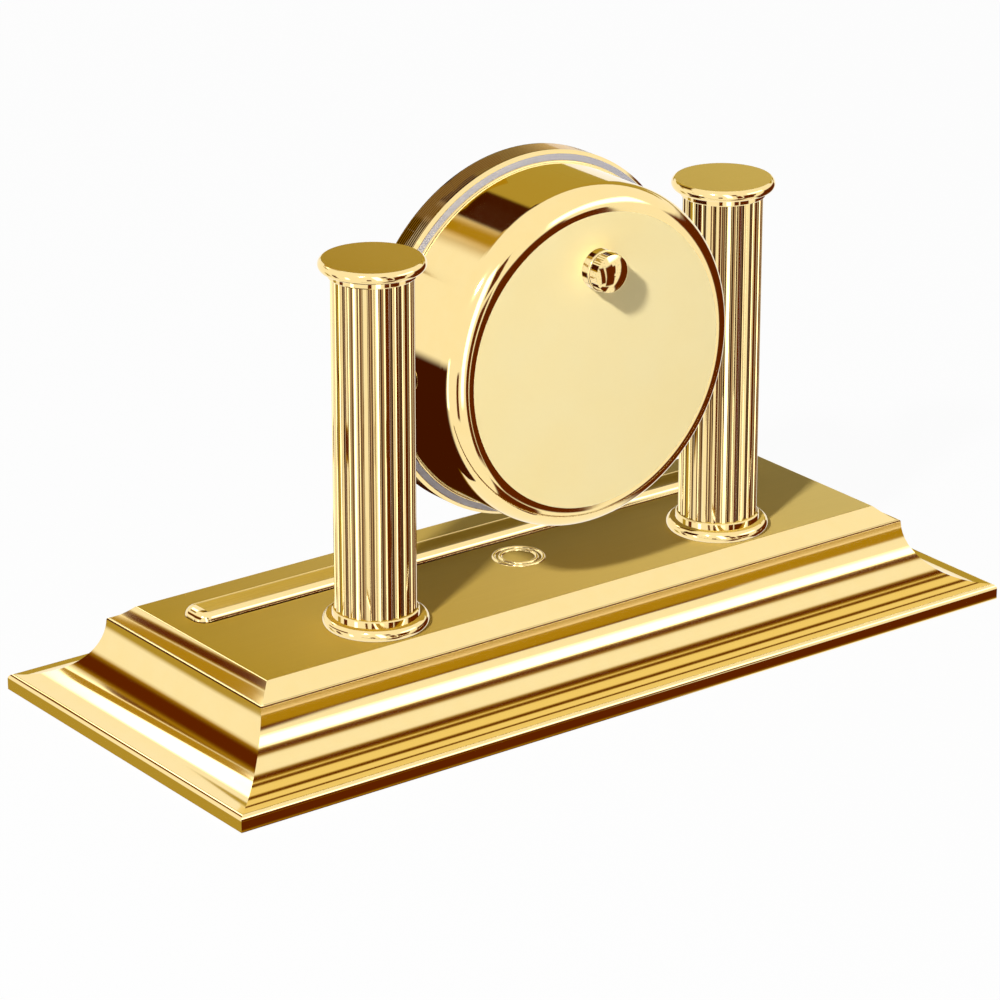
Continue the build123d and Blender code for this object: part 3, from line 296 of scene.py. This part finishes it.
# Acetal: ivory white, waxy and a little uneven.
acetal, shader = material("acetal_moulded")
colour = add(acetal, "MixRGB", {0: grain(acetal, mm=3), 1: linear("#E0DACA"), 2: linear("#F1EDE2")})
join(acetal, shader, {"Base Color": colour.outputs[0], "Roughness": 0.4})
dress(acetal, "second_wheel", "intermediate_wheel")
# Ground magnet: dark grey, matt and finely speckled.
magnet, shader = material("magnet_ground")
colour = add(magnet, "MixRGB", {0: grain(magnet, mm=0.3), 1: linear("#3A3A3C"), 2: linear("#5C5C5E")})
join(magnet, shader, {"Base Color": colour.outputs[0], "Metallic": 0.6, "Roughness": 0.5})
dress(magnet, "rotor")
# Stamped soft iron: mid grey with streaks from the strip.
iron, shader = material("iron_stamped")
colour = add(iron, "MixRGB", {0: grain(iron, mm=0.5, stretch=(8, 1, 1)), 1: linear("#6E6C69"),
                              2: linear("#92908B")})
join(iron, shader, {"Base Color": colour.outputs[0], "Metallic": 1.0, "Roughness": 0.45})
dress(iron, "stator_plate")
# Enamelled copper wire: close turns, with a painted highlight on top of each and painted shade between.
copper, shader = material("copper_wire_enamelled")
place = add(copper, "TexCoord")
turns = add(copper, "TexWave", {"Vector": place.outputs["Object"], "Scale": WAVE_LENGTH / WIRE_PITCH},
            bands_direction="Z")
# Painted highlight and shade: the wave makes each turn bright on top and dark between.
colour = add(copper, "MixRGB", {0: turns.outputs[1], 1: linear("#6B2C12"), 2: linear("#D07A3E")})
wound = add(copper, "Bump", {"Height": turns.outputs[1], "Strength": 0.5, "Distance": 0.00008})
join(copper, shader, {"Base Color": colour.outputs[0], "Metallic": 0.9, "Roughness": 0.35,
                      "Normal": wound.outputs[0]})
dress(copper, "coil")
# Solder mask: deep green over paler copper tracks.
board, shader = material("board_green_mask")
place = add(board, "TexCoord")
tracks = add(board, "TexBrick", {"Vector": place.outputs["Object"], "Scale": ROW_HEIGHT / TRACK_PITCH,
                                 "Color1": linear("#0E4A2A"), "Color2": linear("#10502E"),
                                 "Mortar": linear("#2F7A48"), "Mortar Size": 0.08})
join(board, shader, {"Base Color": tracks.outputs[0], "Roughness": 0.35})
dress(board, "circuit_board")
# Potting blob: glossy black with a slightly wavy skin.
epoxy, shader = material("epoxy_black_gloss")
skin = grain(epoxy, mm=2)
wave = add(epoxy, "Bump", {"Height": skin, "Strength": 0.2, "Distance": 0.0002})
colour = add(epoxy, "MixRGB", {0: skin, 1: linear("#0C0C0D"), 2: linear("#1A1A1C")})
join(epoxy, shader, {"Base Color": colour.outputs[0], "Roughness": 0.15, "Normal": wave.outputs[0]})
dress(epoxy, "control_chip")
# Nickel plate on the can and the springs: bright, with drawn streaks.
nickel, shader = material("nickel_plate_bright")
colour = add(nickel, "MixRGB", {0: grain(nickel, mm=0.4, stretch=(1, 1, 10)), 1: linear("#A8A69F"),
                                2: linear("#D6D3CA")})
join(nickel, shader, {"Base Color": colour.outputs[0], "Metallic": 1.0, "Roughness": 0.25})
dress(nickel, "quartz_can", "battery_contact_plus", "battery_contact_minus")
# Lacquered sleeve: slate blue with a plain ochre band towards the plus end.
can, shader = material("steel_can_lacquered")
place = add(can, "TexCoord")
spot = add(can, "SeparateXYZ", {0: place.outputs["Object"]})
band_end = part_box("battery")[0].x + BAND_WIDTH
band = add(can, "MapRange", {"Value": spot.outputs["X"], "From Min": band_end,
                             "From Max": band_end + BAND_EDGE})
sleeve = add(can, "MixRGB", {0: grain(can, mm=0.5, stretch=(1, 6, 6)), 1: linear("#243C48"),
                             2: linear("#2C4856")})
colour = add(can, "MixRGB", {0: band.outputs[0], 1: linear("#B98A35"), 2: sleeve.outputs[0]})
join(can, shader, {"Base Color": colour.outputs[0], "Metallic": 0.3, "Roughness": 0.3, "Coat Weight": 0.4})
dress(can, "battery")

# Dial, hour markers and rehaut: an enamelled brass disc with a printed minute track,
# applied brass batons, and a white ring that keeps the glass off the dial.

TRACK_IN = 0.0392
TRACK_OUT = 0.0405
TICK_SHARE = 0.03         # half of a tick, as a share of a minute
LINE_HALF = 0.00007
MINUTES_PER_RADIAN = 30 / pi

# Satin enamel, ivory white with a slight orange peel; the track is printed in black.
enamel, shader = material("enamel_white_printed")
place = add(enamel, "TexCoord")
spot = add(enamel, "SeparateXYZ", {0: place.outputs["Object"]})
rise = add(enamel, "Math", {0: spot.outputs["Z"], 1: DRUM_AXIS}, operation="SUBTRACT")
flat = add(enamel, "CombineXYZ", {"X": spot.outputs["X"], "Z": rise.outputs[0]})
reach = add(enamel, "VectorMath", {0: flat.outputs[0]}, operation="LENGTH")
turn = add(enamel, "Math", {0: spot.outputs["X"], 1: rise.outputs[0]}, operation="ARCTAN2")
minute = add(enamel, "Math", {0: turn.outputs[0], 1: MINUTES_PER_RADIAN}, operation="MULTIPLY")
part = add(enamel, "Math", {0: minute.outputs[0], 1: 0.5}, operation="PINGPONG")
tick = add(enamel, "Math", {0: part.outputs[0], 1: TICK_SHARE}, operation="LESS_THAN")
over = add(enamel, "Math", {0: reach.outputs["Value"], 1: TRACK_IN}, operation="GREATER_THAN")
under = add(enamel, "Math", {0: reach.outputs["Value"], 1: TRACK_OUT}, operation="LESS_THAN")
ticks = add(enamel, "Math", {0: tick.outputs[0], 1: over.outputs[0]}, operation="MULTIPLY")
ticks = add(enamel, "Math", {0: ticks.outputs[0], 1: under.outputs[0]}, operation="MULTIPLY")
circle = add(enamel, "Math", {0: reach.outputs["Value"], 1: TRACK_IN, 2: LINE_HALF}, operation="COMPARE")
print_share = add(enamel, "Math", {0: ticks.outputs[0], 1: circle.outputs[0]}, operation="MAXIMUM")
peel = grain(enamel, mm=0.8)
ground = add(enamel, "MixRGB", {0: peel, 1: linear("#EFEADB"), 2: linear("#F6F2E6")})
colour = add(enamel, "MixRGB", {0: print_share.outputs[0], 1: ground.outputs[0], 2: linear("#1C1B1A")})
skin = add(enamel, "Bump", {"Height": peel, "Strength": 0.06, "Distance": 0.0001})
join(enamel, shader, {"Base Color": colour.outputs[0], "Roughness": 0.35, "Normal": skin.outputs[0]})
dress(enamel, "dial", "rehaut_ring")
dress(brass, "hour_markers")

# Hands: leaf hands stamped from thin brass and lacquered, black for the hours and minutes
# and red for the seconds, pushed on the ends of their arbors.

# Gloss black lacquer with a little dust in it.
black, shader = material("lacquer_black_gloss")
colour = add(black, "MixRGB", {0: grain(black, mm=0.4), 1: linear("#101010"), 2: linear("#1E1E1E")})
join(black, shader, {"Base Color": colour.outputs[0], "Roughness": 0.2, "Coat Weight": 0.5})
dress(black, "hour_hand", "minute_hand")
# Gloss red lacquer, a shade deeper where it ran thick.
red, shader = material("lacquer_red_gloss")
colour = add(red, "MixRGB", {0: grain(red, mm=2), 1: linear("#A3150F"), 2: linear("#C0261C")})
join(red, shader, {"Base Color": colour.outputs[0], "Roughness": 0.22, "Coat Weight": 0.5})
dress(red, "second_hand")

# Crystal and its gasket: a flat disc of mineral glass behind the bezel's lip, held against
# it by a moulded rubber ring that the rehaut presses on.

# Moulded rubber: matt black with a fine bloom.
rubber, shader = material("rubber_black_moulded")
colour = add(rubber, "MixRGB", {0: grain(rubber, mm=1), 1: linear("#121212"), 2: linear("#242424")})
join(rubber, shader, {"Base Color": colour.outputs[0], "Roughness": 0.75})
dress(rubber, "crystal_gasket")
# Clear glass with the slightest smear on its face. The lamps shine through it on the dial.
glass, shader = material("glass_mineral_clear")
smear = add(glass, "MapRange", {"Value": grain(glass, mm=12), "To Min": 0.0, "To Max": 0.03})
join(glass, shader, {"Base Color": linear("#FAFCFB"), "Roughness": smear.outputs[0],
                     "Transmission Weight": 1.0, "IOR": 1.5})
dress(glass, "crystal")
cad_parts["crystal"].visible_shadow = False
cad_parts["crystal"].visible_diffuse = False

# Bezel: a turned brass ring with fine grooves round its rim, gold plated and pushed over
# the mounting ring. Its lip holds the glass in front of the dial.

RIM_FRONT = 0.0010
RIM_REAR = 0.0076
RIBS = 9
RIB_PITCH = (RIM_REAR - RIM_FRONT) / RIBS

# Mirror gold, with a painted brown reflection along the rim and a painted shade darkest in its grooves.
bezel, shader = material("gold_plate_rim_painted_shade")
place = add(bezel, "TexCoord")
spot = add(bezel, "SeparateXYZ", {0: place.outputs["Object"]})
past = add(bezel, "Math", {0: spot.outputs["Y"], 1: RIM_FRONT}, operation="SUBTRACT")
phase = add(bezel, "Math", {0: past.outputs[0], 1: 2 * pi / RIB_PITCH}, operation="MULTIPLY")
groove = add(bezel, "Math", {0: phase.outputs[0]}, operation="COSINE")
# Painted reflection and shade: brown over the rim, darkest in the grooves.
painted_rim_shade = add(bezel, "MapRange", {"Value": groove.outputs[0], "From Min": -0.4, "From Max": 0.5,
                                "To Min": 0.6, "To Max": 1.0})
behind = add(bezel, "Math", {0: spot.outputs["Y"], 1: RIM_FRONT}, operation="GREATER_THAN")
before = add(bezel, "Math", {0: spot.outputs["Y"], 1: RIM_REAR}, operation="LESS_THAN")
rim = add(bezel, "Math", {0: behind.outputs[0], 1: before.outputs[0]}, operation="MULTIPLY")
brown_share = add(bezel, "Math", {0: rim.outputs[0], 1: painted_rim_shade.outputs[0]}, operation="MULTIPLY")
gold_plate(bezel, shader, brown_share=brown_share.outputs[0])
dress(bezel, "bezel")

# Setting arbor and knob: a brass arbor with a pinion that sets the hands, and a turned,
# knurled and domed knob pushed on its rear end.

# Mirror gold with small specks of old polish.
knob, shader = material("gold_plate_polished")
specks = add(knob, "MapRange", {"Value": grain(knob, mm=0.5), "From Min": 0.55, "From Max": 0.75,
                                "To Max": 0.25})
gold_plate(knob, shader, brown_share=specks.outputs[0])
dress(brass, "setting_arbor")
dress(knob, "setting_knob")

# Studio: a white paper table in a white tent, a small key lamp on the left behind the
# clock, and a large soft lamp before the dial.

TENT_LIGHT = 0.22         # share of the tent's white that lights the object
PAPER_SHOWN = 0.96        # share of plain white in what the paper shows; the rest has the shadow
PAPER_SIZE = 12
LAMP_AIM = Vector((0, 0, 0.05))

scene = bpy.context.scene
scene.view_settings.view_transform = "Standard"


def heading(azimuth, elevation):
    """The direction towards a point of the tent, seen from the object."""
    a, e = radians(azimuth), radians(elevation)
    return Vector((sin(a) * cos(e), -cos(a) * cos(e), sin(e)))


def shown_share(made):
    """1 on camera, glossy and transmission rays, and 0 on the rest."""
    path = add(made, "LightPath")
    seen = add(made, "Math", {0: path.outputs["Is Camera Ray"], 1: path.outputs["Is Glossy Ray"]},
               operation="MAXIMUM")
    seen = add(made, "Math", {0: seen.outputs[0], 1: path.outputs["Is Transmission Ray"]},
               operation="MAXIMUM")
    return seen.outputs[0]


world = bpy.data.worlds.new("tent")
scene.world = world
world.use_nodes = True
strength = add(world, "MapRange", {"Value": shown_share(world), "To Min": TENT_LIGHT, "To Max": 1.0})
join(world, world.node_tree.nodes["Background"], {"Color": linear("#FFFFFF"),
                                                  "Strength": strength.outputs[0]})

# Matt paper: plain white to the eye, grey to the light that it throws back on the object.
paper, shader = material("paper_white")
join(paper, shader, {"Base Color": linear("#BCBCBC"), "Roughness": 0.9, "Specular IOR Level": 0.0})
glow = add(paper, "Emission", {"Color": linear("#FFFFFF"), "Strength": 1.0})
share = add(paper, "Math", {0: shown_share(paper), 1: PAPER_SHOWN}, operation="MULTIPLY")
both = add(paper, "MixShader", {0: share.outputs[0], 1: shader.outputs[0], 2: glow.outputs[0]})
join(paper, paper.node_tree.nodes["Material Output"], {"Surface": both.outputs[0]})
bpy.ops.mesh.primitive_plane_add(size=PAPER_SIZE, location=(0, 0, 0))
floor = bpy.context.object
floor.name = "floor"
floor.data.materials.append(paper)
floor.visible_glossy = False


def lamp(name, size, power, azimuth, elevation, reach):
    """A round soft lamp that faces the object."""
    light = bpy.data.lights.new(name, "AREA")
    light.shape = "DISK"
    light.size = size
    light.energy = power
    stand = bpy.data.objects.new(name, light)
    scene.collection.objects.link(stand)
    out = heading(azimuth, elevation)
    stand.location = out * reach + LAMP_AIM
    stand.rotation_euler = (-out).to_track_quat("-Z", "Y").to_euler()
    return stand


lamp("key", size=0.1, power=24, azimuth=119, elevation=39, reach=1.3)
fill = lamp("fill", size=0.8, power=7, azimuth=335, elevation=12, reach=1.4)
fill.visible_glossy = False

# Cards of the tent: glowing coloured cards and lit boxes with soft edges, which paint reflections
# of brown, ochre, gold, straw and white into the polished gold. Mirror rays alone see them.

OCHRE = linear("#B19C45")
BROWN = linear("#5D2600")
DARK = linear("#3F1600")
GOLD = linear("#AD8B19")
STRAW = linear("#F3E1A0")
BOX_POWER = 3             # a lit box is this much brighter than the tent
SOFTBOX = [BOX_POWER * part for part in linear("#FFFFFF")]
EDGE_FULL = 0.3           # cover up to which a card has the colour of its edge alone
SOLID_FROM = 0.5          # cover from which such a card lets nothing through
FAR_REACH = 1.5
TENT_CENTRE = Vector((0, 0, 0.06))


def flag(name, tint, centre, across, up, feather, edge=None, front=False):
    """A card with half its width across and half its height up, that fades out at its edges."""
    mesh = bpy.data.meshes.new(name)
    mesh.from_pydata([(-1, -1, 0), (1, -1, 0), (1, 1, 0), (-1, 1, 0)], [], [(0, 1, 2, 3)])
    card = bpy.data.objects.new(name, mesh)
    scene.collection.objects.link(card)
    across, up = Vector(across), Vector(up)
    card.matrix_world = Matrix((across, up, across.cross(up).normalized())).transposed().to_4x4()
    card.matrix_world.translation = Vector(centre)
    made, shader = material(name)
    made.node_tree.nodes.remove(shader)
    place = add(made, "TexCoord")
    spot = add(made, "SeparateXYZ", {0: place.outputs["Object"]})
    shares = []
    for axis, width in enumerate(feather):
        side = add(made, "Math", {0: spot.outputs[axis]}, operation="ABSOLUTE")
        fade = add(made, "MapRange", {"Value": side.outputs[0], "From Min": 1 - width, "From Max": 1,
                                      "To Min": 1, "To Max": 0}, interpolation_type="SMOOTHSTEP")
        shares.append(fade.outputs[0])
    cover = add(made, "Math", {0: shares[0], 1: shares[1]}, operation="MULTIPLY").outputs[0]
    glow = add(made, "Emission", {"Color": tint, "Strength": 1.0})
    if edge is not None:
        inner = add(made, "MapRange", {"Value": cover, "From Min": EDGE_FULL, "From Max": 1.0})
        blend = add(made, "MixRGB", {0: inner.outputs[0], 1: edge, 2: tint})
        join(made, glow, {"Color": blend.outputs[0]})
        cover = add(made, "MapRange", {"Value": cover, "From Min": 0.0, "From Max": SOLID_FROM}).outputs[0]
    if front:
        back = add(made, "NewGeometry").outputs["Backfacing"]
        facing = add(made, "Math", {0: 1.0, 1: back}, operation="SUBTRACT")
        cover = add(made, "Math", {0: cover, 1: facing.outputs[0]}, operation="MULTIPLY").outputs[0]
    clear = add(made, "BsdfTransparent")
    both = add(made, "MixShader", {0: cover, 1: clear.outputs[0], 2: glow.outputs[0]})
    join(made, made.node_tree.nodes["Material Output"], {"Surface": both.outputs[0]})
    mesh.materials.append(made)
    card.visible_camera = card.visible_diffuse = card.visible_shadow = False
    card.visible_transmission = card.visible_volume_scatter = False


def far_flag(name, tint, azimuth, elevation, wide, high, feather, lean=0):
    """A far card, placed by its direction, its angles and the lean of its top, all in degrees."""
    tilt = radians(lean)
    level, rise = heading(azimuth + 90, 0), heading(azimuth, elevation + 90)
    flag(name, tint, TENT_CENTRE + heading(azimuth, elevation) * FAR_REACH,
         (level * cos(tilt) - rise * sin(tilt)) * (FAR_REACH * radians(wide) / 2),
         (rise * cos(tilt) + level * sin(tilt)) * (FAR_REACH * radians(high) / 2), feather)


# Cards seen in the drum: ochre over its top, dark beside that, dark below its side and
# under it, and small gold ones round the rim of the bezel.

ROOF = 0.24               # height of the cards over the drum
APART = 0.0002            # cards that overlap hang this far from one another
RIM_MIDDLE = Vector((0, -0.002, DRUM_AXIS))
RIM_REACH = 0.0505        # from there to the middle of a rim card
RIM_HALF_WIDTH = 0.0093
RIM_HALF_HEIGHT = 0.0017

flag("flag_top", OCHRE, centre=(-0.22, -0.178, ROOF), across=(0.225, 0, 0), up=(0, 0.117, 0),
     feather=(0.1, 0.1))
flag("flag_top_far", OCHRE, centre=(-0.75, -0.7, ROOF + APART), across=(0.55, 0, 0), up=(0, 0.46, 0),
     feather=(0.05, 0.05))
flag("flag_drum", DARK, centre=(0.008, -0.14, ROOF - APART), across=(0.036, 0, 0), up=(0, 0.08, 0),
     feather=(0.25, 0.2))
flag("flag_drum_side", GOLD, centre=(0.06, -0.14, ROOF + APART), across=(0.05, 0, 0), up=(0, 0.08, 0),
     feather=(0.9, 0.2))
flag("flag_side", DARK, centre=(0.0458, -0.0015, 0.0614), across=(0, 0.0325, 0), up=(0, 0, -0.0334),
     feather=(0.05, 0.09), front=True)
flag("flag_under", DARK, centre=(0.031, -0.029, 0.0262), across=(0.043, 0, 0), up=(0, 0.031, 0),
     feather=(0.4, 0.4), edge=GOLD, front=True)
for number, turned in enumerate((15, 35, 55, 75)):
    along = Vector((cos(radians(turned)), 0, -sin(radians(turned))))
    away = Vector((sin(radians(turned)), 0, cos(radians(turned))))
    flag("flag_rim_%d" % number, GOLD, centre=RIM_MIDDLE + away * RIM_REACH, across=along * RIM_HALF_WIDTH,
         up=away * RIM_HALF_HEIGHT, feather=(0.05, 0.2))

# Cards seen in the end of the plinth: brown over the cove and over the slope, gold low on
# the slope, ochre beside the slab, and a bright box above.

SLOPE_ROOF = 0.3          # height of the cards over the slope

flag("flag_end", BROWN, centre=(0.1371, -0.054, 0.0451), across=(0, 0.066, 0), up=(-0.012, 0, 0.012),
     feather=(0.04, 0.7), edge=GOLD)
flag("flag_slope", BROWN, centre=(0.238, -0.38, SLOPE_ROOF), across=(0.0349, -0.0196, 0),
     up=(0.0214, 0.0381, 0), feather=(0.7, 0.1), edge=GOLD)
flag("flag_slope_low", GOLD, centre=(0.1682, -0.3694, SLOPE_ROOF + APART), across=(0.036, -0.014, 0),
     up=(0.0312, 0.0555, 0), feather=(0.4, 0.1))
far_flag("flag_slab_end", OCHRE, azimuth=36, elevation=-22, wide=15, high=26, feather=(0.3, 0.5))
far_flag("softbox_end", SOFTBOX, azimuth=5, elevation=38, wide=26, high=12, feather=(0.3, 0.9))

# Cards seen in the long side of the plinth, from its slab up to the neck of its cove: a
# pale one over the cove, five brown strips before that, and bright boxes.

LONG_MIDDLE = -0.037      # middle of the cards along the side
LONG_HALF = (0.143, 0, 0)
NECK_Y = 0.048
COVE_ROOF = 0.0205        # height of the strips over the cove
STRIPS = ((0.04639, 0.0009), (0.04278, 0.0009), (0.04149, 0.0006), (0.03755, 0.0013), (0.0316, 0.0016))

flag("flag_slab", BROWN, centre=(0, 0.056, 0.0006), across=(0.14, 0, 0), up=(0, 0.004, 0),
     feather=(0.02, 0.5), edge=GOLD)
flag("softbox_neck", SOFTBOX, centre=(LONG_MIDDLE, NECK_Y, 0.01607), across=LONG_HALF, up=(0, 0, 0.00055),
     feather=(0.02, 0.6))
flag("flag_rear_low", GOLD, centre=(LONG_MIDDLE, NECK_Y + APART / 2, 0.0173), across=LONG_HALF,
     up=(0, 0, 0.0011), feather=(0.02, 0.3))
far_flag("softbox_rear", SOFTBOX, azimuth=220, elevation=25, wide=44, high=20, feather=(0.2, 0.7))
flag("flag_rear", STRAW, centre=(LONG_MIDDLE, 0.0333, COVE_ROOF + APART), across=LONG_HALF,
     up=(0, -0.0103, 0), feather=(0.02, 0.1), front=True)
for number, (middle, half) in enumerate(STRIPS):
    flag("flag_rear_%d" % number, BROWN, centre=(LONG_MIDDLE, middle, COVE_ROOF), across=LONG_HALF,
         up=(0, -half, 0), feather=(0.02, 0.9), edge=GOLD, front=True)

# Far cards round the clock, most of them below the table's edge, seen in the columns, in the
# round of the case and in the dome of the knob. Each has its azimuth, elevation, width,
# height and lean in degrees, and its colour.

ROUND_CARDS = (
    (202.5, -16, 27, 62, -14, BROWN),
    (179.5, -14, 13, 52, -14, BROWN),
    (265, -18, 64, 70, 0, BROWN),
    (168, 24, 12, 22, -14, BROWN),
    (137, -20, 10, 24, 0, BROWN),
    (60, -20, 12, 30, 0, BROWN),
    (198, -57, 22, 28, 0, BROWN),
    (213, -3, 10, 20, 0, BROWN),
    (154, 8, 14, 76, -10, SOFTBOX),
    (92, -14, 9, 30, 0, SOFTBOX),
)

for number, (azimuth, elevation, wide, high, lean, tint) in enumerate(ROUND_CARDS):
    far_flag("flag_low_%d" % number, tint, azimuth, elevation, wide, high, feather=(0.2, 0.2), lean=lean)

# Camera: behind the clock, to its left and above it, with a long lens. Its place was worked
# out from points measured on the photo.

TARGET = Vector((0.004578, 0, 0.040982))
DISTANCE = 1.1436

view = heading(azimuth=143.10, elevation=21.19)
lens = bpy.data.cameras.new("camera")
lens.sensor_width = 36
lens.lens = 161.82
lens.clip_start = 0.01
camera = bpy.data.objects.new("camera", lens)
scene.collection.objects.link(camera)
camera.location = TARGET + view * DISTANCE
camera.rotation_euler = (-view).to_track_quat("-Z", "Y").to_euler()
scene.camera = camera
